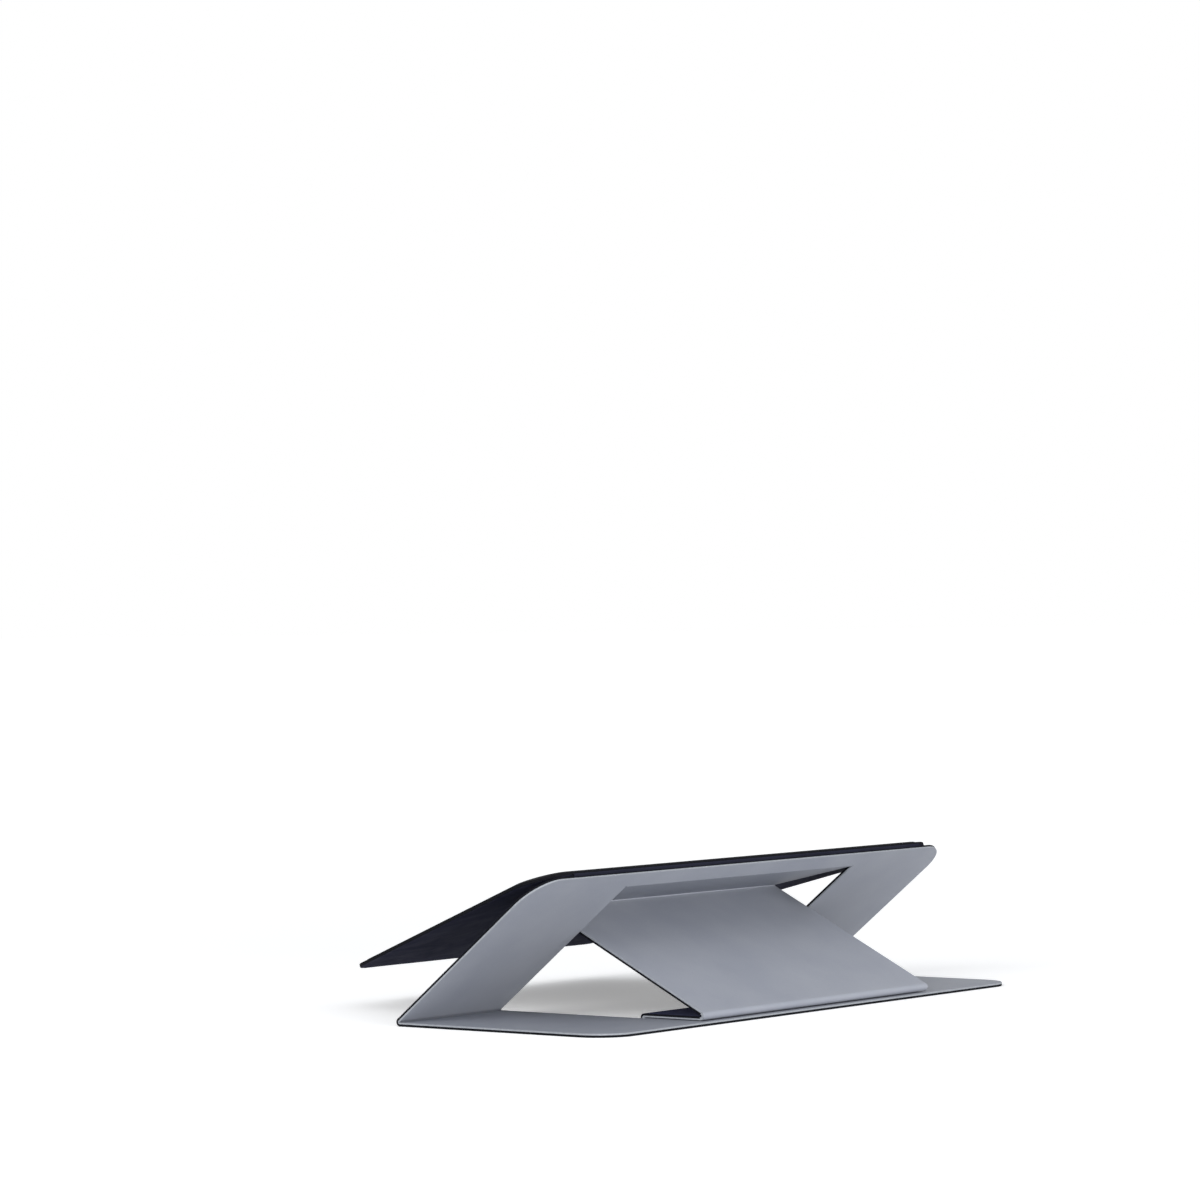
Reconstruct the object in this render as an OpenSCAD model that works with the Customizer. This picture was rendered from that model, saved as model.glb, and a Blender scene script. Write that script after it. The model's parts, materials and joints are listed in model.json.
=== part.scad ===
// Folding stand cut from one laminated sheet. The sheet creases into a flat base, a sloping leg and
// a centre strip that folds back through the leg as brace, strut and foot. A tapered panel with an
// adhesive pad is hinged along the leg's top edge. Every panel has a grey cover, a stiff board and
// a black lining. X runs along the creases, +Y away from the strut's nose, and Z is up.

/* [Main sheet] */
// Width of the base, the leg and the panel's rear edge
sheet_w = 226; // [190:1:260]
// Length of the leg, from the panel's crease down to the front crease
leg_len = 71.5; // [66:0.5:78]
// Length of the base, from the front crease back to its rear edge
base_len = 81.5; // [80.5:0.5:100]
// Radius of the sheet's outer corners
corner_r = 12; // [4:0.5:20]

/* [Standing pose] */
// Slope of the leg above the desk
leg_angle = 38.8; // [36:0.1:41]
// Slope of the adhesive panel above the desk
panel_tilt = 17.2; // [15:0.1:19]

/* [Centre strip] */
// Width of the window that the centre strip leaves
window_w = 125.2; // [90:0.2:150]
// Width of the knife slit at each side of the strip
slit_w = 0.3; // [0.2:0.05:0.8]
// Height of the band that is left above the window
band_h = 6.8; // [5:0.1:9]
// Length of the brace, from the band's crease to the strut's crease
brace_len = 32; // [28:0.5:35]
// Distance on the base from the front crease to the foot's crease
base_slit_len = 56.5; // [54:0.5:60]

/* [Adhesive panel] */
// Length of the panel from its crease to its front edge
panel_len = 120; // [90:1:140]
// Width of the panel's front edge
panel_front_w = 128; // [90:1:180]
// Radius of the panel's front corners
panel_front_r = 9; // [3:0.5:20]
// Distance that the pad stays back from the panel's outline
pad_inset = 2.5; // [1.5:0.5:8]

/* [Layers] */
// Thickness of the grey cover
cover_t = 0.5; // [0.3:0.05:0.8]
// Thickness of the stiff board in the main sheet
board_t = 0.4; // [0.3:0.05:0.8]
// Thickness of the black lining
lining_t = 0.3; // [0.2:0.05:0.6]
// Thickness of the panel's own board
panel_board_t = 0.7; // [0.4:0.05:1.2]
// Thickness of the adhesive pad
pad_t = 0.8; // [0.4:0.1:1.5]
// Gap between two panels that are folded flat on each other
fold_gap = 0.3; // [0.2:0.05:0.6]
// Bare stretch between a crease line and the end of a panel
crease_tab = 0.2; // [0.15:0.05:0.6]
// Gap between the strut's crease and the panel that rests on it
rest_gap = 0.3; // [0.2:0.05:0.6]

/* [Hidden] */
$fn = 64;
cover_grey = [0.57, 0.58, 0.62];
board_grey = [0.23, 0.24, 0.27];
lining_black = [0.10, 0.11, 0.13];
pad_black = [0.06, 0.06, 0.07];

sheet_t = cover_t + board_t + lining_t;
half_gap = fold_gap / 2;
strip_w = window_w - 2 * slit_w;
side_w = (sheet_w - window_w) / 2;

// Offset across the sheet between two creases that fold opposite ways
cross_w = sheet_t + fold_gap;

// In the side view a point is [y, z] and a panel runs along an angle from +Y towards +Z. Its black
// face is on the left of that run. Distances along the strip are counted from the panel's crease.
function run(a) = [cos(a), sin(a)];
function black_side(a) = [-sin(a), cos(a)];

leg_run = -leg_angle;
panel_run = 180 - panel_tilt;
base_run = 180;
foot_run = 0;

// The front crease's line before the model is centred
front_0 = [0, sheet_t + half_gap];
panel_axis_0 = front_0 - leg_len * run(leg_run) + cross_w * black_side(leg_run);
brace_axis_0 = panel_axis_0 + band_h * run(leg_run);

// The brace is a little flatter than the panel, so that the strut's crease just meets the lining
brace_rise = band_h * sin(leg_angle - panel_tilt) - sheet_t - rest_gap;
brace_run = asin(brace_rise / norm([brace_len, cross_w])) + atan2(cross_w, brace_len) - panel_tilt;
strut_axis_0 = brace_axis_0 + brace_len * run(brace_run) - cross_w * black_side(brace_run);

// The strip is as long as the leg and base that it was cut from. That fixes where the nose folds.
foot_axis_0 = [front_0[0] - base_slit_len, front_0[1]];
strip_left = leg_len - band_h + base_slit_len - brace_len;
reach_y = strut_axis_0[0] - foot_axis_0[0];
reach_z = strut_axis_0[1] - foot_axis_0[1] - cross_w;
foot_len = (strip_left * strip_left + cross_w * cross_w - reach_y * reach_y - reach_z * reach_z)
    / (2 * (strip_left + reach_y));
strut_len = strip_left - foot_len;
nose_axis_0 = foot_axis_0 + [-foot_len, cross_w];
strut_run = atan2(-reach_z, -reach_y - foot_len) - atan2(cross_w, strut_len);

// The origin is under the middle of the whole stand
rear_y = front_0[0] - base_len;
front_y = panel_axis_0[0] + panel_len * cos(panel_tilt)
    + (half_gap + lining_t + panel_board_t) * sin(panel_tilt);
centre = [-(rear_y + front_y) / 2, 0];
front_axis = front_0 + centre;
panel_axis = panel_axis_0 + centre;
brace_axis = brace_axis_0 + centre;
strut_axis = strut_axis_0 + centre;
nose_axis = nose_axis_0 + centre;
foot_axis = foot_axis_0 + centre;

// Lays a sheet's outline into the side view. The outline's +Y runs along the angle, and +Z goes
// through the sheet towards its black face.
module lay(at, angle) {
    translate([0, at[0], at[1]]) rotate([angle, 0, 0]) children();
}

// One layer of a sheet, between two depths from the face that the outline lies on
module layer(from, to) {
    translate([0, 0, from]) linear_extrude(to - from) children();
}

// A flat outline with its corners rounded by true arcs. Corners run anticlockwise, and each arc
// touches both of its sides.
function unit(v) = v / norm(v);
function corner_half(before, at, after) =
    acos(unit(before - at) * unit(after - at)) / 2;
function corner_back(before, at, after, r) = r / tan(corner_half(before, at, after));
function corner_centre(before, at, after, r) =
    at + unit(unit(before - at) + unit(after - at)) * r / sin(corner_half(before, at, after));

module rounded_outline(corners, radii) {
    n = len(corners);
    polygon([for (i = [0:n - 1], side = [0, 1])
        let (at = corners[i], before = corners[(i + n - 1) % n], after = corners[(i + 1) % n])
            at + unit((side == 0 ? before : after) - at) * corner_back(before, at, after, radii[i])
    ]);
    for (i = [0:n - 1])
        if (radii[i] > 0)
            let (before = corners[(i + n - 1) % n], after = corners[(i + 1) % n])
                translate(corner_centre(before, corners[i], after, radii[i])) circle(radii[i]);
}

// The base lies along its run from the front crease, with the window open towards that crease
module base_outline() {
    half = sheet_w / 2;
    difference() {
        rounded_outline(
            [[-half, crease_tab], [half, crease_tab], [half, base_len], [-half, base_len]],
            [0, 0, corner_r, corner_r]
        );
        translate([-window_w / 2, 0]) square([window_w, base_slit_len + crease_tab]);
    }
}

// The leg lies along its run from the panel's crease down to the front crease
module leg_outline() {
    half = sheet_w / 2;
    low = leg_len - crease_tab;
    difference() {
        rounded_outline(
            [[-half, crease_tab], [half, crease_tab], [half, low], [-half, low]],
            [corner_r, corner_r, 0, 0]
        );
        translate([-window_w / 2, band_h - crease_tab]) square([window_w, leg_len]);
    }
}

// A plain panel of the centre strip between two creases
module strip_outline(length) {
    translate([-strip_w / 2, crease_tab]) square([strip_w, length - 2 * crease_tab]);
}

// The tapered panel, with its crease at zero and its front edge at minus its length
module panel_outline(inset) {
    rear = sheet_w / 2;
    front = panel_front_w / 2;
    slope = atan2(rear - front, panel_len - crease_tab);
    // A side moved inwards by the inset meets the moved ends this much nearer the middle
    rear_in = rear - inset / cos(slope) - inset * tan(slope);
    front_in = front - inset / cos(slope) + inset * tan(slope);
    rounded_outline(
        [
            [-front_in, inset - panel_len], [front_in, inset - panel_len],
            [rear_in, -crease_tab - inset], [-rear_in, -crease_tab - inset]
        ],
        [panel_front_r - inset, panel_front_r - inset, corner_r - inset, corner_r - inset]
    );
}

// Section of a crease: an arc round the crease line from one panel's end to the other's, with a
// short straight tab at both ends. side is 1 where the sheet lies on the black side of the line,
// so that grey folds on grey, and -1 where black folds on black. The arc runs a little way into
// the tabs, so that all three are one piece.
module crease_tabs(start, turn, side, from, to, length) {
    rotate(start) translate([from, side > 0 ? 0 : -length]) square([to - from, length]);
    rotate(start + turn) translate([from, side > 0 ? -length : 0]) square([to - from, length]);
}

module crease_section(run_in, run_out, side, near, far) {
    start = run_in + 90 * side;
    turn = run_out - run_in;
    lap = 3 * side;
    steps = 8;
    difference() {
        union() {
            intersection() {
                circle(far);
                polygon([
                    [0, 0],
                    for (i = [0:steps])
                        let (at = start + lap + (turn - 2 * lap) * i / steps) 4 * far * [cos(at), sin(at)]
                ]);
            }
            crease_tabs(start, turn, side, near / 2, far, crease_tab);
        }
        circle(near);
        crease_tabs(start, turn, side, 0, near, 2 * crease_tab);
    }
}

// A crease strip of a given width, centred at x
module crease_strip(at, width, x = 0) {
    translate([x - width / 2, at[0], at[1]]) rotate([90, 0, 90]) linear_extrude(width) children();
}

// Depths of the layers, from the grey face inwards
cover_in = cover_t;
board_in = cover_t + board_t;

// Distances of the layers from a crease line: grey folds on grey, then black folds on black
grey_near = half_gap;
grey_mid = half_gap + cover_t;
black_near = half_gap;
black_mid = half_gap + lining_t;
crease_far = half_gap + sheet_t;

// Base: lies on the desk, grey side up
module on_base() lay([front_axis[0], sheet_t], base_run) children();
module base_cover() color(cover_grey) on_base() layer(0, cover_in) base_outline();
module base_board() color(board_grey) on_base() layer(cover_in, board_in) base_outline();
module base_lining() color(lining_black) on_base() layer(board_in, sheet_t) base_outline();

// Leg: slopes from the panel's crease down and forwards to the front crease
module on_leg() lay(panel_axis - (sheet_t + half_gap) * black_side(leg_run), leg_run) children();
module leg_cover() color(cover_grey) on_leg() layer(0, cover_in) leg_outline();
module leg_board() color(board_grey) on_leg() layer(cover_in, board_in) leg_outline();
module leg_lining() color(lining_black) on_leg() layer(board_in, sheet_t) leg_outline();

// Brace: runs forwards from the band, close under the adhesive panel
module on_brace() lay(brace_axis - (sheet_t + half_gap) * black_side(brace_run), brace_run) children();
module brace_cover() color(cover_grey) on_brace() layer(0, cover_in) strip_outline(brace_len);
module brace_board() color(board_grey) on_brace() layer(cover_in, board_in) strip_outline(brace_len);
module brace_lining() color(lining_black) on_brace() layer(board_in, sheet_t) strip_outline(brace_len);

// Strut: falls back through the leg's window to the nose
module on_strut() lay(strut_axis + half_gap * black_side(strut_run), strut_run) children();
module strut_cover() color(cover_grey) on_strut() layer(0, cover_in) strip_outline(strut_len);
module strut_board() color(board_grey) on_strut() layer(cover_in, board_in) strip_outline(strut_len);
module strut_lining() color(lining_black) on_strut() layer(board_in, sheet_t) strip_outline(strut_len);

// Foot: lies on the base from the nose forwards to the foot's crease
module on_foot() lay(nose_axis - (sheet_t + half_gap) * black_side(foot_run), foot_run) children();
module foot_cover() color(cover_grey) on_foot() layer(0, cover_in) strip_outline(foot_len);
module foot_board() color(board_grey) on_foot() layer(cover_in, board_in) strip_outline(foot_len);
module foot_lining() color(lining_black) on_foot() layer(board_in, sheet_t) strip_outline(foot_len);

// Adhesive panel: lining below, its own stiffer board, and the pad that sticks to the load
module on_panel() lay(panel_axis - half_gap * black_side(panel_run), panel_run) children();
module panel_lining() color(lining_black) on_panel() layer(-lining_t, 0) panel_outline(0);
module panel_board() color(board_grey) on_panel()
    layer(-lining_t - panel_board_t, -lining_t) panel_outline(0);
module adhesive_pad() color(pad_black) on_panel()
    layer(-lining_t - panel_board_t - pad_t, -lining_t - panel_board_t) panel_outline(pad_inset);

// Front crease: one strip under each leg, where the leg turns back into the base
module front_crease(near, far)
    for (side = [-1, 1])
        crease_strip(front_axis, side_w, side * (sheet_w - side_w) / 2)
            crease_section(leg_run, base_run - 360, 1, near, far);
module front_crease_cover() color(cover_grey) front_crease(grey_near, grey_mid);
module front_crease_lining() color(lining_black) front_crease(grey_mid, crease_far);

// Brace crease: the slight fold under the band, black on black
module brace_crease(near, far)
    crease_strip(brace_axis, strip_w) crease_section(leg_run, brace_run, -1, near, far);
module brace_crease_cover() color(cover_grey) brace_crease(black_mid, crease_far);
module brace_crease_lining() color(lining_black) brace_crease(black_near, black_mid);

// Strut crease: the sharp fold under the panel, grey on grey
module strut_crease(near, far)
    crease_strip(strut_axis, strip_w) crease_section(brace_run, strut_run, 1, near, far);
module strut_crease_cover() color(cover_grey) strut_crease(grey_near, grey_mid);
module strut_crease_lining() color(lining_black) strut_crease(grey_mid, crease_far);

// Nose crease: the rounded nose at the rear, black on black
module nose_crease(near, far)
    crease_strip(nose_axis, strip_w) crease_section(strut_run, foot_run, -1, near, far);
module nose_crease_cover() color(cover_grey) nose_crease(black_mid, crease_far);
module nose_crease_lining() color(lining_black) nose_crease(black_near, black_mid);

// Foot crease: the strip doubles back on the base, grey on grey
module foot_crease(near, far)
    crease_strip(foot_axis, strip_w) crease_section(foot_run, base_run - 360, 1, near, far);
module foot_crease_cover() color(cover_grey) foot_crease(grey_near, grey_mid);
module foot_crease_lining() color(lining_black) foot_crease(grey_mid, crease_far);

// Panel crease: the lining runs on from the leg's black face to the panel's, along the straight
// stretch of the panel's rear edge between its corner arcs
hinge_w = sheet_w - 2 * corner_back(
    [panel_front_w / 2, -panel_len], [sheet_w / 2, -crease_tab], [0, -crease_tab], corner_r
);
module panel_crease() color(lining_black)
    crease_strip(panel_axis, hinge_w)
        crease_section(panel_run - 360, leg_run, -1, black_near, black_mid);

base_cover();
base_board();
base_lining();
leg_cover();
leg_board();
leg_lining();
brace_cover();
brace_board();
brace_lining();
strut_cover();
strut_board();
strut_lining();
foot_cover();
foot_board();
foot_lining();
panel_lining();
panel_board();
adhesive_pad();
front_crease_cover();
front_crease_lining();
brace_crease_cover();
brace_crease_lining();
strut_crease_cover();
strut_crease_lining();
nose_crease_cover();
nose_crease_lining();
foot_crease_cover();
foot_crease_lining();
panel_crease();
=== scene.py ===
import json
import math

import bmesh
import bpy
import numpy as np
from mathutils import Matrix, Vector


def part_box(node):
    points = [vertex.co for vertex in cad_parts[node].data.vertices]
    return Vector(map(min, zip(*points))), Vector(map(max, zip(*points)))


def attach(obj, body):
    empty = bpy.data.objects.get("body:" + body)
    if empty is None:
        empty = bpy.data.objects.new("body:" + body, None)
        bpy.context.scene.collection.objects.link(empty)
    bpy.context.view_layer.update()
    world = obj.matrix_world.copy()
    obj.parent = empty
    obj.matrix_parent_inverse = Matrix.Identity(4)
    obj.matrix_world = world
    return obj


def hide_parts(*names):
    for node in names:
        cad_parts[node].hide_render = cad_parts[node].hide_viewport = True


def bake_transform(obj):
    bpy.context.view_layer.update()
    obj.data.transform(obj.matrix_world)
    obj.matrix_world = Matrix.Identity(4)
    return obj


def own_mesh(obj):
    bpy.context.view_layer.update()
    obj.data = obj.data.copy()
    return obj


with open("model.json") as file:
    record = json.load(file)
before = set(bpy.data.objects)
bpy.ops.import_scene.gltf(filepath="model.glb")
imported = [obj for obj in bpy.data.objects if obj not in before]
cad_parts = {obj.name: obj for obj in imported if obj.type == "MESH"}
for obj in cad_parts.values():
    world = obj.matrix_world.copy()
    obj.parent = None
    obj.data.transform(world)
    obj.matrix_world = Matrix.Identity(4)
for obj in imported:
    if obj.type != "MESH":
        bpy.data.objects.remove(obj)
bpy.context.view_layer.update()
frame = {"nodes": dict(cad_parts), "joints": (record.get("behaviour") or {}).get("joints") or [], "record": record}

# Camera. It stands low behind the stand and to its left, with a long lens, as the photograph was
# taken. Its place is in the part's frame, in metres, and its angles are in degrees.
image_px = 1200
focal_px = 4628.5
sensor_mm = 36
camera_place = (-1.21098, -0.91118, 0.13059)
camera_turn = -52.522
camera_tilt = 0.027
camera_roll = -0.657

camera_data = bpy.data.cameras.new("camera")
camera_data.sensor_width = sensor_mm
camera_data.lens = sensor_mm * focal_px / image_px
camera_data.clip_end = 20
camera = bpy.data.objects.new("camera", camera_data)
bpy.context.scene.collection.objects.link(camera)
camera.matrix_world = (
    Matrix.Translation(camera_place)
    @ Matrix.Rotation(math.radians(camera_turn), 4, "Z")
    @ Matrix.Rotation(math.radians(90 + camera_tilt), 4, "X")
    @ Matrix.Rotation(math.radians(camera_roll), 4, "Z")
)
bpy.context.scene.camera = camera
bpy.context.scene.view_settings.view_transform = "Standard"

# Floor and light. The stand stands on a plain white floor in a white studio. One soft lamp hangs high
# above the camera, one stands at the left, and two low ones light the undersides from the rear. What
# the camera sees of floor and backdrop is white, and the floor keeps the stand's shadow.
floor_size = 40.0
floor_drop = 0.00005
floor_colour = (0.92, 0.92, 0.92, 1)
floor_seen_colour = (1, 1, 1, 1)
floor_glow = (0.29, 0.60)
floor_glow_reach = (0.25, 1.6)
studio_colour = (0.95, 0.97, 1.0, 1)
studio_light = 0.52
lamps = {
    "high": dict(place=(-1.2, -1.0, 1.9), size=(1.6, 1.6), watts=3.0),
    "side": dict(place=(-2.2, -0.3, 0.9), size=(1.2, 1.2), watts=32.0),
    "low_left": dict(place=(-0.85, -2.2, 0.2), size=(2.0, 0.38), watts=43.0),
    "low_right": dict(place=(1.1, -2.1, 0.2), size=(1.6, 0.38), watts=8.0),
}


def add(tree, kind, **values):
    """A shader node of that kind. Values set its properties, or its inputs by name."""
    made = tree.nodes.new(kind)
    for key, value in values.items():
        if hasattr(made, key):
            setattr(made, key, value)
        else:
            made.inputs[key.replace("_", " ")].default_value = value
    return made


def ramp(tree, value, low, high, first, last, course="LINEAR"):
    """Carries a value that runs from low to high over to the span from first to last."""
    made = add(
        tree,
        "ShaderNodeMapRange",
        interpolation_type=course,
        From_Min=low,
        From_Max=high,
        To_Min=first,
        To_Max=last,
    )
    tree.links.new(value, made.inputs["Value"])
    return made.outputs["Result"]


def mix_colours(tree, share, first, last):
    """Mixes two colours by the share of the last. Each is plain or another node's output."""
    made = add(tree, "ShaderNodeMix", data_type="RGBA")
    tree.links.new(share, made.inputs[0])
    for socket, colour in ((made.inputs[6], first), (made.inputs[7], last)):
        if isinstance(colour, tuple):
            socket.default_value = colour
        else:
            tree.links.new(colour, socket)
    return made.outputs[2]


def seen_directly(tree):
    """1 for rays from the camera, for reflections and for light that passes through, else 0."""
    path = add(tree, "ShaderNodeLightPath")
    seen = path.outputs["Is Camera Ray"]
    for ray in ("Is Glossy Ray", "Is Transmission Ray"):
        either = add(tree, "ShaderNodeMath", operation="MAXIMUM")
        tree.links.new(seen, either.inputs[0])
        tree.links.new(path.outputs[ray], either.inputs[1])
        seen = either.outputs[0]
    return seen


world = bpy.data.worlds.new("studio")
bpy.context.scene.world = world
world.use_nodes = True
studio_tree = world.node_tree
studio_tree.nodes.clear()
backdrop = add(studio_tree, "ShaderNodeBackground", Color=(1, 1, 1, 1))
ambient = add(studio_tree, "ShaderNodeBackground", Color=studio_colour, Strength=studio_light)
choose = add(studio_tree, "ShaderNodeMixShader")
studio_out = add(studio_tree, "ShaderNodeOutputWorld")
studio_tree.links.new(seen_directly(studio_tree), choose.inputs[0])
studio_tree.links.new(ambient.outputs[0], choose.inputs[1])
studio_tree.links.new(backdrop.outputs[0], choose.inputs[2])
studio_tree.links.new(choose.outputs[0], studio_out.inputs[0])

# The floor glows, more with the distance, only to the camera and in reflections, so that its glow
# doesn't light the stand's matt surfaces
floor_material = bpy.data.materials.new("white_floor")
floor_material.use_nodes = True
floor_tree = floor_material.node_tree
floor_tree.nodes.clear()
seen = seen_directly(floor_tree)
place = add(floor_tree, "ShaderNodeTexCoord")
distance = add(floor_tree, "ShaderNodeVectorMath", operation="LENGTH")
seen_glow = add(floor_tree, "ShaderNodeMath", operation="MULTIPLY")
matte = add(floor_tree, "ShaderNodeBsdfDiffuse")
glow = add(floor_tree, "ShaderNodeEmission")
matte_and_glow = add(floor_tree, "ShaderNodeAddShader")
floor_out = add(floor_tree, "ShaderNodeOutputMaterial")
floor_tree.links.new(place.outputs["Object"], distance.inputs[0])
glow_there = ramp(
    floor_tree, distance.outputs["Value"], *floor_glow_reach, *floor_glow, course="SMOOTHSTEP"
)
floor_tree.links.new(seen, seen_glow.inputs[0])
floor_tree.links.new(glow_there, seen_glow.inputs[1])
floor_tree.links.new(seen_glow.outputs[0], glow.inputs["Strength"])
matte_colour = mix_colours(floor_tree, seen, floor_colour, floor_seen_colour)
floor_tree.links.new(matte_colour, matte.inputs["Color"])
floor_tree.links.new(matte.outputs[0], matte_and_glow.inputs[0])
floor_tree.links.new(glow.outputs[0], matte_and_glow.inputs[1])
floor_tree.links.new(matte_and_glow.outputs[0], floor_out.inputs[0])

reach = floor_size / 2
floor_mesh = bpy.data.meshes.new("floor")
floor_mesh.from_pydata(
    [
        (-reach, -reach, -floor_drop),
        (reach, -reach, -floor_drop),
        (reach, reach, -floor_drop),
        (-reach, reach, -floor_drop),
    ],
    [],
    [(0, 1, 2, 3)],
)
floor_mesh.materials.append(floor_material)
floor = bpy.data.objects.new("floor", floor_mesh)
bpy.context.scene.collection.objects.link(floor)

for name, lamp in lamps.items():
    light = bpy.data.lights.new(name, "AREA")
    light.shape = "RECTANGLE"
    light.size, light.size_y = lamp["size"]
    light.energy = lamp["watts"]
    lamp_object = bpy.data.objects.new(name, light)
    lamp_object.visible_camera = False
    bpy.context.scene.collection.objects.link(lamp_object)
    lamp_object.location = lamp["place"]
    lamp_object.rotation_euler = Vector(lamp["place"]).to_track_quat("Z", "Y").to_euler()

# Grey cover. It is a thin sheet of coated leatherette, smooth and satin, laminated on the outside of
# the boards. It was die-cut through all layers, so its edge is bare, and the cutter pressed the edge
# of the face down a little. A painted highlight makes it paler along the strut crease and the nose,
# and a painted shade makes it darker along the front crease.
cover_face = (0.250, 0.265, 0.308, 1)
cover_face_pale = (0.278, 0.292, 0.332, 1)
# Painted highlight: the paler colour laid along the strut crease and the nose
cover_highlight = (0.325, 0.338, 0.380, 1)
# Painted shade: the darker colour laid along the front crease
cover_shade = (0.120, 0.128, 0.150, 1)
cover_edge = (0.290, 0.305, 0.330, 1)
cover_edge_dark = (0.225, 0.240, 0.265, 1)
cover_edge_shine = 0.2
streaks_per_metre = 1500
streak_span = (0.3, 0.7)
streak_depth = 0.00002
cut_roughness = (0.55, 0.8)
cover_roughness = (0.50, 0.62)
cover_shine = 0.25
cover_grain = 0.0007
cover_grain_depth = 0.000018
fine_per_metre = 4200
fine_share = 0.35
clouds_per_metre = 34
noise_span = (0.35, 0.65)
edge_roll = 0.00012
edge_calm = 0.004
cover_wave = 0.000012
wave_length = 0.021
first_seed = 1.3
# Widths of the painted highlight and the painted shade beside a crease
highlight_width = 0.0016
shade_width = 0.0007
corner_r = 0.012
side_cells = 36
corner_cells = 16
strip_cells = 40
face_cells = 28
roll_cells = 3
sharp_edge = math.radians(35)

joints = {joint["name"]: joint for joint in frame["joints"]}
ratios = {c["joint"]: c["ratio"] for c in frame["record"]["behaviour"]["couplings"]}
fold = math.radians(joints["fold_flat"]["range_deg"][1])


def crease_line(joint):
    """The crease that a joint turns about, as its place in Y and Z."""
    return np.array(joints[joint]["pos_m"][1:])


def run(angle):
    """Direction in Y and Z of a panel that runs along the angle from +Y towards +Z."""
    return np.array([math.cos(angle), math.sin(angle)])


def black_side(angle):
    """Direction through such a panel, from its grey face to its black face."""
    return np.array([-math.sin(angle), math.cos(angle)])


# Each panel's slope follows from how far its crease turns between standing and flat
base_run = math.pi
leg_run = fold - math.pi
brace_run = leg_run + ratios["brace_fold"] * fold
strut_run = brace_run - ratios["strut_fold"] * fold
foot_run = base_run - ratios["foot_fold"] * fold
panel_run = leg_run + 2 * math.pi - math.radians(joints["panel_lift"]["range_deg"][1])

front_crease = crease_line("fold_flat")
brace_crease = crease_line("brace_fold")
strut_crease = crease_line("strut_fold")
foot_crease = crease_line("foot_fold")
panel_crease = crease_line("panel_lift")

base_low, base_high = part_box("base_cover")
sheet_t = base_high.z
cover_t = sheet_t - base_low.z
lining_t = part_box("base_lining")[1].z
half_gap = front_crease[1] - sheet_t
tab = front_crease[0] - base_high.y
half_w = base_high.x
strip_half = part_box("strut_cover")[1].x
# The leg's points nearest the middle are its window's edges
leg_points = np.array([v.co for v in frame["nodes"]["leg_cover"].data.vertices])
window_half = np.abs(leg_points[:, 0]).min()

leg_len = (front_crease - panel_crease) @ run(leg_run)
band_h = (brace_crease - panel_crease) @ run(leg_run)
brace_len = (strut_crease - brace_crease) @ run(brace_run)
base_len = front_crease[0] - base_low.y
slit_len = front_crease[0] - foot_crease[0]
foot_low, foot_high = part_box("foot_cover")
foot_len = foot_high.y - foot_low.y + 2 * tab
strut_len = leg_len - band_h + slit_len - brace_len - foot_len
nose_crease = foot_crease + [-foot_len, sheet_t + 2 * half_gap]

# Where each panel's grey face starts, and the way it runs
faces = {
    "base": (front_crease + half_gap * black_side(base_run), base_run),
    "leg": (panel_crease - (sheet_t + half_gap) * black_side(leg_run), leg_run),
    "brace": (brace_crease - (sheet_t + half_gap) * black_side(brace_run), brace_run),
    "strut": (strut_crease + half_gap * black_side(strut_run), strut_run),
    "foot": (nose_crease - (sheet_t + half_gap) * black_side(foot_run), foot_run),
}


def closer_at_ends(count):
    """Steps from 0 to 1 that are closer together at both ends: half of one minus the cosine."""
    return 0.5 - 0.5 * np.cos(np.pi * np.arange(count + 1) / count)


def rounded_path(corners, radii, straight_steps, arc_steps):
    """A path along straight lines between corners, each inner corner rounded by an arc of its radius
    that touches both lines. A point of an arc is its centre plus its first and last spokes, weighted
    by the sines of the angle to go and the angle passed, over the sine of the whole. Straight
    stretches have steps that are closer at their ends."""
    corners = np.array(corners, float)
    stops = [corners[0]]
    arcs = []
    for before, at, after, radius in zip(corners, corners[1:], corners[2:], radii):
        back = (before - at) / np.linalg.norm(before - at)
        on = (after - at) / np.linalg.norm(after - at)
        half = math.acos(np.clip(back @ on, -1, 1)) / 2
        middle = (back + on) / np.linalg.norm(back + on)
        centre = at + middle * radius / math.sin(half)
        first = at + back * radius / math.tan(half)
        last = at + on * radius / math.tan(half)
        share = np.linspace(0, 1, arc_steps + 1)[:, None]
        swing = math.pi - 2 * half
        arc = (
            (first - centre) * np.sin((1 - share) * swing) + (last - centre) * np.sin(share * swing)
        ) / math.sin(swing) + centre
        stops += [first, last]
        arcs.append(arc)
    stops.append(corners[-1])
    steps = closer_at_ends(straight_steps)[:, None]
    path = [stops[0] + (stops[1] - stops[0]) * steps]
    for k, arc in enumerate(arcs):
        path.append(arc[1:])
        path.append(stops[2 * k + 2] + (stops[2 * k + 3] - stops[2 * k + 2]) * steps[1:])
    return np.concatenate(path)


def round_window(creased_at, far_edge, window_edge):
    """The two edges of a sheet that goes round a window, from one creased end to the other: the
    window's edge, and the outer edge with its rounded corners. Points with the same number face
    each other, and the window's corners face the middles of the outer corners."""
    outer = rounded_path(
        [[-half_w, creased_at], [-half_w, far_edge], [half_w, far_edge], [half_w, creased_at]],
        [corner_r, corner_r],
        side_cells,
        corner_cells,
    )
    passed = np.concatenate([[0], np.cumsum(np.linalg.norm(np.diff(outer, axis=0), axis=1))])
    first_turn = abs(far_edge - creased_at) - corner_r + corner_r * math.pi / 4
    turns = [0, first_turn, passed[-1] - first_turn, passed[-1]]
    inner = np.stack(
        [
            np.interp(passed, turns, [-window_half, -window_half, window_half, window_half]),
            np.interp(passed, turns, [creased_at, window_edge, window_edge, creased_at]),
        ],
        1,
    )
    return inner, outer


def across_strip(length):
    """The two straight edges of a strip between two creases."""
    along = tab + (length - 2 * tab) * closer_at_ends(strip_cells)
    side = np.full_like(along, strip_half)
    return np.stack([-side, along], 1), np.stack([side, along], 1)


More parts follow.
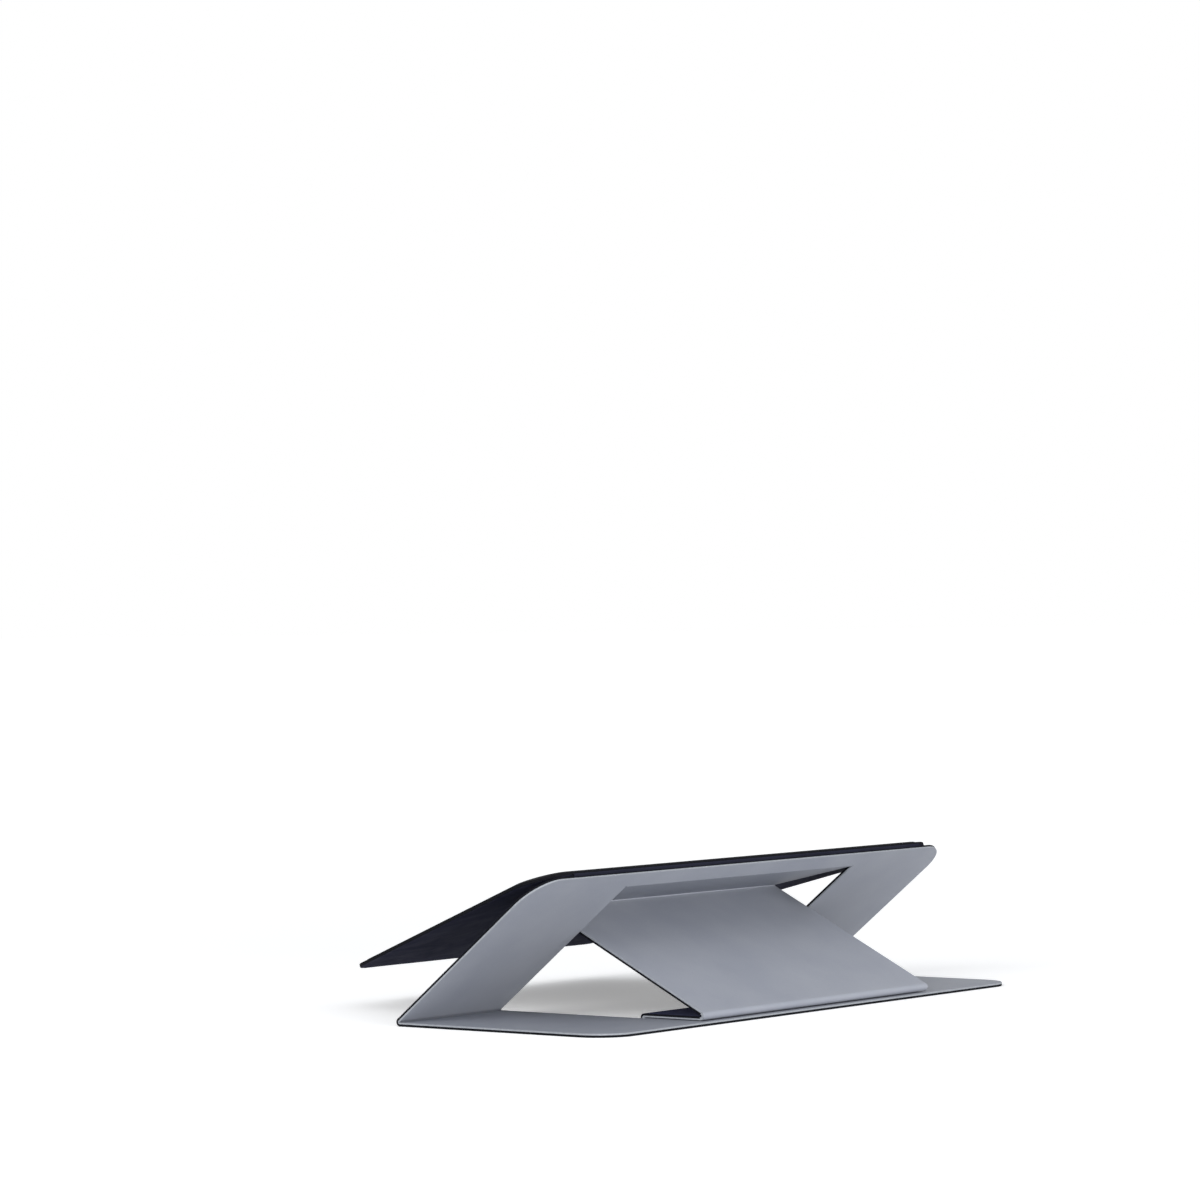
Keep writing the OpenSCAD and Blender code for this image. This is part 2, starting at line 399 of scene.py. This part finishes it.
def slow_wave(x, y, length, seed):
    """A slow unevenness between -1 and 1: the mean of five sine waves of different directions."""
    angles = seed + np.arange(5) * 2.4
    lengths = length * (1 + 0.37 * np.arange(5))
    waves = [
        np.sin(2 * np.pi * (x * math.cos(a) + y * math.sin(a)) / l + 1.7 * a)
        for a, l in zip(angles, lengths)
    ]
    return np.mean(waves, axis=0)


def layer_shell(
    inner, outer, face, back, roll, wave=0.0, length=wave_length, seed=1.0, cells=face_cells
):
    """A closed layer between two edges. A section is carried along them: across the face from edge
    to edge, over the rolled edge, down to the back and home again. Depths are measured from the
    sheet's grey face. The face waves slowly, and calms down towards its edges. Returns the points as
    x, distance along the panel and depth, in a grid of stations by section points, and which
    stretches of the section are cut edge."""
    inward = np.sign(back - face)
    width = np.linalg.norm(outer - inner, axis=1)[:, None]
    across = (outer - inner) / width
    turn = np.linspace(0, math.pi / 2, roll_cells + 1)[1:]
    share = closer_at_ends(cells)
    face_at = roll + (width - 2 * roll) * share
    rim_in = roll * (1 - np.sin(turn))
    rim_depth = face + inward * roll * (1 - np.cos(turn))
    ones = np.ones_like(width)
    place = np.concatenate(
        [face_at, width - ones * rim_in, width, 0 * width, ones * rim_in[::-1]], axis=1
    )
    depth = np.concatenate(
        [
            np.full((len(width), len(share)), face),
            ones * rim_depth,
            ones * back,
            ones * back,
            ones * rim_depth[::-1],
        ],
        axis=1,
    )
    xy = inner[:, None] + across[:, None] * place[..., None]
    edge_fade = np.clip(np.minimum(place, width - place) / edge_calm, 0, 1)
    edge_fade[:, len(share):] = 0
    depth += wave * edge_fade * slow_wave(xy[..., 0], xy[..., 1], length, seed)
    cut = np.ones(place.shape[1], bool)
    cut[: len(share) - 1] = False
    cut[len(share) + len(turn)] = False
    return np.concatenate([xy, depth[..., None]], axis=2), cut


def lay(points, start, angle):
    """Lays x, distance and depth into the side view, from a panel's start and along its run."""
    side = start + points[..., 1:2] * run(angle) + points[..., 2:3] * black_side(angle)
    return np.concatenate([points[..., :1], side], axis=-1)


def carried_mesh(name, groups, materials, attributes=()):
    """A mesh from closed sections carried along stations. Each group is a grid of points, stations by
    section points, and the section's stretches that take the second material. Quads join the
    stations, and each end is closed by one face."""
    points, quads, caps, second = [], [], [], []
    offset = 0
    for grid, cut in groups:
        stations, around = grid.shape[:2]
        index = offset + np.arange(stations * around).reshape(stations, around)
        on = np.roll(index, -1, axis=1)
        quads.append(np.stack([index[:-1], on[:-1], on[1:], index[1:]], -1).reshape(-1, 4))
        second.append(np.tile(cut, stations - 1))
        caps += [index[0, ::-1].tolist(), index[-1].tolist()]
        points.append(grid.reshape(-1, 3))
        offset += stations * around
    faces_all = np.concatenate(quads).tolist() + caps
    mesh = bpy.data.meshes.new(name)
    mesh.from_pydata(np.concatenate(points).tolist(), [], faces_all)
    slots = np.concatenate(second + [np.ones(len(caps), bool)]).astype(np.int32)
    mesh.polygons.foreach_set("material_index", slots)
    for key, values in attributes:
        mesh.attributes.new(key, "FLOAT", "POINT").data.foreach_set("value", values.ravel())
    for material in materials:
        mesh.materials.append(material)
    outward = bmesh.new()
    outward.from_mesh(mesh)
    bmesh.ops.recalc_face_normals(outward, faces=outward.faces)
    outward.to_mesh(mesh)
    outward.free()
    mesh.shade_smooth()
    mesh.set_sharp_from_angle(angle=sharp_edge)
    piece = bpy.data.objects.new(name, mesh)
    bpy.context.scene.collection.objects.link(piece)
    return piece


def sheet_surface_group():
    """Surface of a coated sheet. Grain is the fine pebble of the coating: the distance to the nearest
    pebble's middle, and a share of fine noise. Cloud is a slow mottle of a few centimetres, and Speck
    the fine noise alone."""
    group = bpy.data.node_groups.new("sheet_surface", "ShaderNodeTree")
    group.interface.new_socket("Pebble", in_out="INPUT", socket_type="NodeSocketFloat")
    for output in ("Grain", "Cloud", "Speck"):
        group.interface.new_socket(output, in_out="OUTPUT", socket_type="NodeSocketFloat")
    entry = add(group, "NodeGroupInput")
    leave = add(group, "NodeGroupOutput")
    where = add(group, "ShaderNodeTexCoord")
    per_metre = add(group, "ShaderNodeMath", operation="DIVIDE")
    per_metre.inputs[0].default_value = 1
    pebbles = add(group, "ShaderNodeTexVoronoi", feature="SMOOTH_F1", Smoothness=0.6)
    fine = add(group, "ShaderNodeTexNoise", Scale=fine_per_metre, Detail=3)
    cloud = add(group, "ShaderNodeTexNoise", Scale=clouds_per_metre, Detail=4, Roughness=0.55)
    blend = add(group, "ShaderNodeMath", operation="MULTIPLY_ADD")
    blend.inputs[1].default_value = fine_share
    for texture in (pebbles, fine, cloud):
        group.links.new(where.outputs["Object"], texture.inputs["Vector"])
    group.links.new(entry.outputs["Pebble"], per_metre.inputs[1])
    group.links.new(per_metre.outputs[0], pebbles.inputs["Scale"])
    group.links.new(fine.outputs["Fac"], blend.inputs[0])
    group.links.new(pebbles.outputs["Distance"], blend.inputs[2])
    group.links.new(blend.outputs[0], leave.inputs["Grain"])
    group.links.new(cloud.outputs["Fac"], leave.inputs["Cloud"])
    group.links.new(fine.outputs["Fac"], leave.inputs["Speck"])
    return group


sheet_surface = sheet_surface_group()


def new_material(name, shine):
    """A material with only its shader and its output, and the shader. Shine is how much the surface
    reflects head-on, where 0.5 is a clear plastic and 0 nothing."""
    material = bpy.data.materials.new(name)
    material.use_nodes = True
    material.node_tree.nodes.clear()
    shader = add(material.node_tree, "ShaderNodeBsdfPrincipled")
    shader.inputs["Specular IOR Level"].default_value = shine
    leave = add(material.node_tree, "ShaderNodeOutputMaterial")
    material.node_tree.links.new(shader.outputs[0], leave.inputs[0])
    return material, shader


def bumped(tree, height, depth, before=None):
    """The normal of a surface whose height runs over that depth in metres."""
    made = add(tree, "ShaderNodeBump", Distance=depth)
    tree.links.new(height, made.inputs["Height"])
    if before is not None:
        tree.links.new(before, made.inputs["Normal"])
    return made.outputs["Normal"]


def cover_material():
    """The cover: two greys in slow clouds, with grain, a painted highlight and a painted shade along creases."""
    material, shader = new_material("grey_leatherette", cover_shine)
    tree = material.node_tree
    surface = add(tree, "ShaderNodeGroup", node_tree=sheet_surface, Pebble=cover_grain)
    # Attributes that place the painted highlight and the painted shade
    painted_highlight = add(tree, "ShaderNodeAttribute", attribute_name="painted_highlight")
    painted_shade = add(tree, "ShaderNodeAttribute", attribute_name="painted_shade")
    cloud = ramp(tree, surface.outputs["Cloud"], *noise_span, 0, 1)
    body = mix_colours(tree, cloud, cover_face, cover_face_pale)
    colour = mix_colours(tree, painted_highlight.outputs["Fac"], body, cover_highlight)
    colour = mix_colours(tree, painted_shade.outputs["Fac"], colour, cover_shade)
    tree.links.new(colour, shader.inputs["Base Color"])
    rough = ramp(tree, surface.outputs["Speck"], *noise_span, *cover_roughness)
    tree.links.new(rough, shader.inputs["Roughness"])
    normal = bumped(tree, surface.outputs["Grain"], cover_grain_depth)
    tree.links.new(normal, shader.inputs["Normal"])
    return material


def cut_edge_material(name, colour, darker, shine):
    """A die-cut edge: fine streaks between two shades, rough and slightly raised."""
    material, shader = new_material(name, shine)
    tree = material.node_tree
    where = add(tree, "ShaderNodeTexCoord")
    streaks = add(tree, "ShaderNodeTexNoise", Scale=streaks_per_metre, Detail=3)
    tree.links.new(where.outputs["Object"], streaks.inputs["Vector"])
    streak = streaks.outputs["Fac"]
    shade = ramp(tree, streak, *streak_span, 0, 1)
    tree.links.new(mix_colours(tree, shade, darker, colour), shader.inputs["Base Color"])
    rough = ramp(tree, streak, *streak_span, *cut_roughness)
    tree.links.new(rough, shader.inputs["Roughness"])
    tree.links.new(bumped(tree, streak, streak_depth), shader.inputs["Normal"])
    return material


grey_leatherette = cover_material()
cover_cut = cut_edge_material("leatherette_cut", cover_edge, cover_edge_dark, cover_edge_shine)

edges = {
    "base": round_window(tab, base_len, slit_len + tab),
    "leg": round_window(leg_len - tab, tab, band_h - tab),
    "brace": across_strip(brace_len),
    "strut": across_strip(strut_len),
    "foot": across_strip(foot_len),
}
# Distances along a panel of the painted highlights and painted shades beside its creases, and how much
painted_highlight_at = {"brace": {brace_len: 0.6}, "strut": {0: 0.6, strut_len: 0.1}, "foot": {0: 0.1}}
painted_shade_at = {"base": {0: 0.6}, "leg": {leg_len: 0.6}}


def near_creases(along, places, width):
    """The sum of a bell round each place: its amount times e to minus the squared distance over the
    squared width."""
    bells = 0 * along
    for at, amount in places.items():
        bells += amount * np.exp(-(((along - at) / width) ** 2))
    return bells


for seed, (panel, (inner, outer)) in enumerate(edges.items()):
    shell, cut = layer_shell(inner, outer, 0, cover_t, edge_roll, cover_wave, seed=first_seed + seed)
    painted_highlight = near_creases(shell[..., 1], painted_highlight_at.get(panel, {}), highlight_width)
    painted_shade = near_creases(shell[..., 1], painted_shade_at.get(panel, {}), shade_width)
    skin = carried_mesh(
        panel + "_cover_skin",
        [(lay(shell, *faces[panel]), cut)],
        [grey_leatherette, cover_cut],
        [("painted_highlight", painted_highlight), ("painted_shade", painted_shade)],
    )
    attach(skin, panel)
    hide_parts(panel + "_cover")

# Boards. Thin stiff fibre boards between cover and lining, one in each panel, die-cut with them. Only
# their dark cut edges show, as a line between grey and black.
board_dark = (0.0045, 0.0048, 0.0065, 1)
board_pale = (0.0100, 0.0105, 0.0130, 1)
board_shine = 0.02
board_cut = cut_edge_material("board_cut", board_pale, board_dark, board_shine)
for board in ("base_board", "leg_board", "brace_board", "strut_board", "foot_board", "panel_board"):
    board_materials = frame["nodes"][board].data.materials
    board_materials.clear()
    board_materials.append(board_cut)

# Black lining. A thinner coated sheet under the boards, near black and dull, with a soft blue sheen and
# the faint wrinkles of a film that was pressed on. It was die-cut with cover and boards.
lining_face = (0.0100, 0.0106, 0.0165, 1)
lining_pale = (0.0150, 0.0157, 0.0240, 1)
lining_roughness = (0.66, 0.84)
lining_shine = 0.012
lining_sheen = 0.045
lining_sheen_roughness = 0.5
lining_sheen_tint = (0.46, 0.50, 1.0, 1)
lining_edge = (0.0090, 0.0095, 0.0125, 1)
lining_edge_dark = (0.0045, 0.0050, 0.0070, 1)
lining_edge_shine = 0.02
lining_roll = 0.8 * edge_roll
lining_grain = 0.0005
lining_grain_depth = cover_grain_depth / 2
wrinkles_per_metre = 75
wrinkle_depth = 0.00022


def lining_material():
    """The lining: two near blacks in slow clouds, with wrinkles, grain and sheen."""
    material, shader = new_material("black_lining", lining_shine)
    shader.inputs["Sheen Weight"].default_value = lining_sheen
    shader.inputs["Sheen Roughness"].default_value = lining_sheen_roughness
    shader.inputs["Sheen Tint"].default_value = lining_sheen_tint
    tree = material.node_tree
    surface = add(tree, "ShaderNodeGroup", node_tree=sheet_surface, Pebble=lining_grain)
    where = add(tree, "ShaderNodeTexCoord")
    wrinkles = add(
        tree,
        "ShaderNodeTexNoise",
        Scale=wrinkles_per_metre,
        Detail=5,
        Roughness=0.5,
        Distortion=1.2,
    )
    tree.links.new(where.outputs["Object"], wrinkles.inputs["Vector"])
    cloud = ramp(tree, surface.outputs["Cloud"], *noise_span, 0, 1)
    tree.links.new(mix_colours(tree, cloud, lining_face, lining_pale), shader.inputs["Base Color"])
    rough = ramp(tree, wrinkles.outputs["Fac"], *noise_span, *lining_roughness)
    tree.links.new(rough, shader.inputs["Roughness"])
    creasing = bumped(tree, wrinkles.outputs["Fac"], wrinkle_depth)
    normal = bumped(tree, surface.outputs["Grain"], lining_grain_depth, creasing)
    tree.links.new(normal, shader.inputs["Normal"])
    return material


black_lining = lining_material()
lining_cut = cut_edge_material("lining_cut", lining_edge, lining_edge_dark, lining_edge_shine)

for panel, (inner, outer) in edges.items():
    shell, cut = layer_shell(inner, outer, sheet_t, sheet_t - lining_t, lining_roll)
    skin = carried_mesh(
        panel + "_lining_skin", [(lay(shell, *faces[panel]), cut)], [black_lining, lining_cut]
    )
    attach(skin, panel)
    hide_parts(panel + "_lining")

# Creases. At each fold the boards stop and only cover and lining run on, bent round the crease line in
# an arc. Grey folds on grey at the front, the strut and the foot, black on black at the brace, the nose
# and the adhesive panel. Foot and nose crease ride on one panel each, and the others stay where they
# are built, on no body.
arc_steps = 24
grey_on_grey = 1
black_on_black = -1
cover_inside = (half_gap, half_gap + cover_t)
lining_outside = (half_gap + cover_t, half_gap + sheet_t)
lining_inside = (half_gap, half_gap + lining_t)
cover_outside = (half_gap + lining_t, half_gap + sheet_t)
strip_span = [(-strip_half, strip_half)]
leg_spans = [(-half_w, -window_half), (window_half, half_w)]


def crease_ends(run_in, run_out, side):
    """Angles, round the crease line, at which a crease leaves one panel and meets the next."""
    return run_in + side * math.pi / 2, run_out + side * math.pi / 2


def crease_section(run_in, run_out, side, near, far):
    """Section of one layer of a crease as a closed loop: an arc at the far radius with a straight tab
    at both ends, and back along the near radius."""
    first, last = crease_ends(run_in, run_out, side)
    angles = np.linspace(first, last, arc_steps + 1)
    round_line = np.stack([np.cos(angles), np.sin(angles)], 1)
    first_tab = side * tab * np.array([-math.sin(first), math.cos(first)])
    last_tab = -side * tab * np.array([-math.sin(last), math.cos(last)])

    def one_side(radius):
        arc = radius * round_line
        return np.concatenate([[arc[0] + first_tab], arc, [arc[-1] + last_tab]])

    return np.concatenate([one_side(far), one_side(near)[::-1]])


def crease_piece(name, line, ends, side, radii, spans, materials, painted_highlight=0.0, painted_shade=0.0):
    """A crease layer carried along X over each span. Its end faces are cut edge."""
    section = crease_section(*ends, side, *radii)
    groups = []
    for left, right in spans:
        grid = np.zeros((2, len(section), 3))
        grid[..., 0] = [[left], [right]]
        grid[..., 1:] = line + section
        groups.append((grid, np.zeros(len(section), bool)))
    count = sum(grid.shape[0] * grid.shape[1] for grid, _ in groups)
    # The painted highlight and the painted shade, each the same all over the piece
    painted_light = [("painted_highlight", np.full(count, painted_highlight)), ("painted_shade", np.full(count, painted_shade))]
    return carried_mesh(name, groups, materials, painted_light)


def bend_with(piece):
    """Bakes a crease's place into its mesh. It is attached to no body."""
    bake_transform(piece)


turn = 2 * math.pi
base_again = base_run - turn
# Each fold's crease line, the runs of its two panels, its side, its spans and the bodies it joins
folds = {
    "front_crease": (front_crease, (leg_run, base_again), grey_on_grey, leg_spans, ("leg", "base")),
    "brace_crease": (brace_crease, (leg_run, brace_run), black_on_black, strip_span, ("leg", "brace")),
    "strut_crease": (strut_crease, (brace_run, strut_run), grey_on_grey, strip_span, ("brace", "strut")),
    "foot_crease": (foot_crease, (foot_run, base_again), grey_on_grey, strip_span, None),
    "nose_crease": (nose_crease, (strut_run, foot_run), black_on_black, strip_span, None),
}
# How much painted highlight and painted shade each whole crease piece gets
highlighted_folds = {"strut_crease": 0.6, "nose_crease": 0.1}
shaded_folds = {"front_crease": 1.0}
# The two tightest folds open by about half a turn. Each rides on one panel: the panel's body, and the
# joint of its fold.
laid_in = {"foot_crease": ("base", "foot_fold"), "nose_crease": ("strut", "strut_fold")}
for name, (line, ends, side, spans, bodies) in folds.items():
    cover_radii = cover_inside if side == grey_on_grey else cover_outside
    lining_radii = lining_outside if side == grey_on_grey else lining_inside
    for layer, radii, materials in (
        ("cover", cover_radii, [grey_leatherette, cover_cut]),
        ("lining", lining_radii, [black_lining, lining_cut]),
    ):
        node = f"{name}_{layer}"
        painted_light = highlighted_folds.get(name, 0.0), shaded_folds.get(name, 0.0)
        piece = crease_piece(node + "_bend", line, ends, side, radii, spans, materials, *painted_light)
        if bodies:
            bend_with(piece)
        else:
            body, joint = laid_in[name]
            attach(piece, body)
            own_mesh(piece)
        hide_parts(node)

# Adhesive panel. A tapered panel of its own, hinged along the leg's top edge by the lining, which runs
# on from the leg. It has a stiffer board, and its black underside shows from behind.
panel_start = panel_crease - half_gap * black_side(panel_run)
panel_points = np.array([v.co for v in frame["nodes"]["panel_lining"].data.vertices])
panel_len = -((panel_points[:, 1:] - panel_start) @ run(panel_run)).min()
panel_front_half = 0.064
panel_front_r = 0.009
panel_wave = 0.00005
panel_wave_length = 0.028
panel_seed = 3.0
panel_side_cells = 44
panel_face_cells = 60


def panel_edges(inset):
    """The two side edges of the tapered panel, moved in by the inset, with rounded corners. They run
    from the front edge to the crease. A slanted side that is moved in by the inset crosses the front
    and rear edges nearer the middle by the inset over the cosine of its slope, and those edges move
    in too, which adds or takes the inset times the slope's tangent."""
    slope = math.atan2(half_w - panel_front_half, panel_len - tab)
    rear = half_w - inset / math.cos(slope) - inset * math.tan(slope)
    front = panel_front_half - inset / math.cos(slope) + inset * math.tan(slope)
    side = rounded_path(
        [[0, inset - panel_len], [front, inset - panel_len], [rear, -tab - inset], [0, -tab - inset]],
        [panel_front_r - inset, corner_r - inset],
        panel_side_cells,
        corner_cells,
    )
    on_front = np.flatnonzero(np.isclose(side[:, 1], side[0, 1], rtol=0, atol=1e-9))
    on_rear = np.flatnonzero(np.isclose(side[:, 1], side[-1, 1], rtol=0, atol=1e-9))
    right = side[on_front[-1] : on_rear[0] + 1]
    return right * [-1, 1], right


left, right = panel_edges(0)
shell, cut = layer_shell(
    left, right, 0, -lining_t, edge_roll, panel_wave, panel_wave_length, panel_seed, panel_face_cells
)
panel_lining_skin = carried_mesh(
    "panel_lining_skin", [(lay(shell, panel_start, panel_run), cut)], [black_lining, lining_cut]
)
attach(panel_lining_skin, "panel")
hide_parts("panel_lining")

panel_ends = (panel_run - turn, leg_run)
hinge_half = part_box("panel_crease")[1].x
hinge = crease_piece(
    "panel_crease_bend",
    panel_crease,
    panel_ends,
    black_on_black,
    lining_inside,
    [(-hinge_half, hinge_half)],
    [black_lining, lining_cut],
)
bend_with(hinge)
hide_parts("panel_crease")

# Adhesive pad. A soft tacky sheet on the panel's upper face, set a little back from its edge, with a
# rounded edge and a smooth, slightly rippled skin.
pad_inset = 0.0025
pad_black = (0.012, 0.012, 0.013, 1)
pad_bloom = (0.026, 0.026, 0.028, 1)
pad_shine = 0.14
pad_roughness = (0.38, 0.48)
pad_roll = 0.0003
pad_face_cells = 40
ripples_per_metre = 420
ripple_depth = 0.00005
blooms_per_metre = 26


def pad_material():
    """The pad: black with a slow grey bloom, and finely rippled."""
    material, shader = new_material("tacky_pad", pad_shine)
    tree = material.node_tree
    where = add(tree, "ShaderNodeTexCoord")
    ripple = add(tree, "ShaderNodeTexNoise", Scale=ripples_per_metre, Detail=3)
    bloom = add(tree, "ShaderNodeTexNoise", Scale=blooms_per_metre, Detail=5, Roughness=0.6)
    for texture in (ripple, bloom):
        tree.links.new(where.outputs["Object"], texture.inputs["Vector"])
    cloud = ramp(tree, bloom.outputs["Fac"], 0.4, 0.7, 0, 1)
    tree.links.new(mix_colours(tree, cloud, pad_black, pad_bloom), shader.inputs["Base Color"])
    rough = ramp(tree, bloom.outputs["Fac"], 0.35, 0.7, *pad_roughness)
    tree.links.new(rough, shader.inputs["Roughness"])
    tree.links.new(bumped(tree, ripple.outputs["Fac"], ripple_depth), shader.inputs["Normal"])
    return material


tacky_pad = pad_material()
left, right = panel_edges(pad_inset)
pad_points = np.array([v.co for v in frame["nodes"]["adhesive_pad"].data.vertices])
pad_depths = (pad_points[:, 1:] - panel_start) @ black_side(panel_run)
pad_span = pad_depths.min(), pad_depths.max()
shell, cut = layer_shell(left, right, *pad_span, pad_roll, cells=pad_face_cells)
pad_skin = carried_mesh(
    "adhesive_pad_skin", [(lay(shell, panel_start, panel_run), cut)], [tacky_pad, tacky_pad]
)
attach(pad_skin, "panel")
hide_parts("adhesive_pad")

bpy.context.view_layer.update()
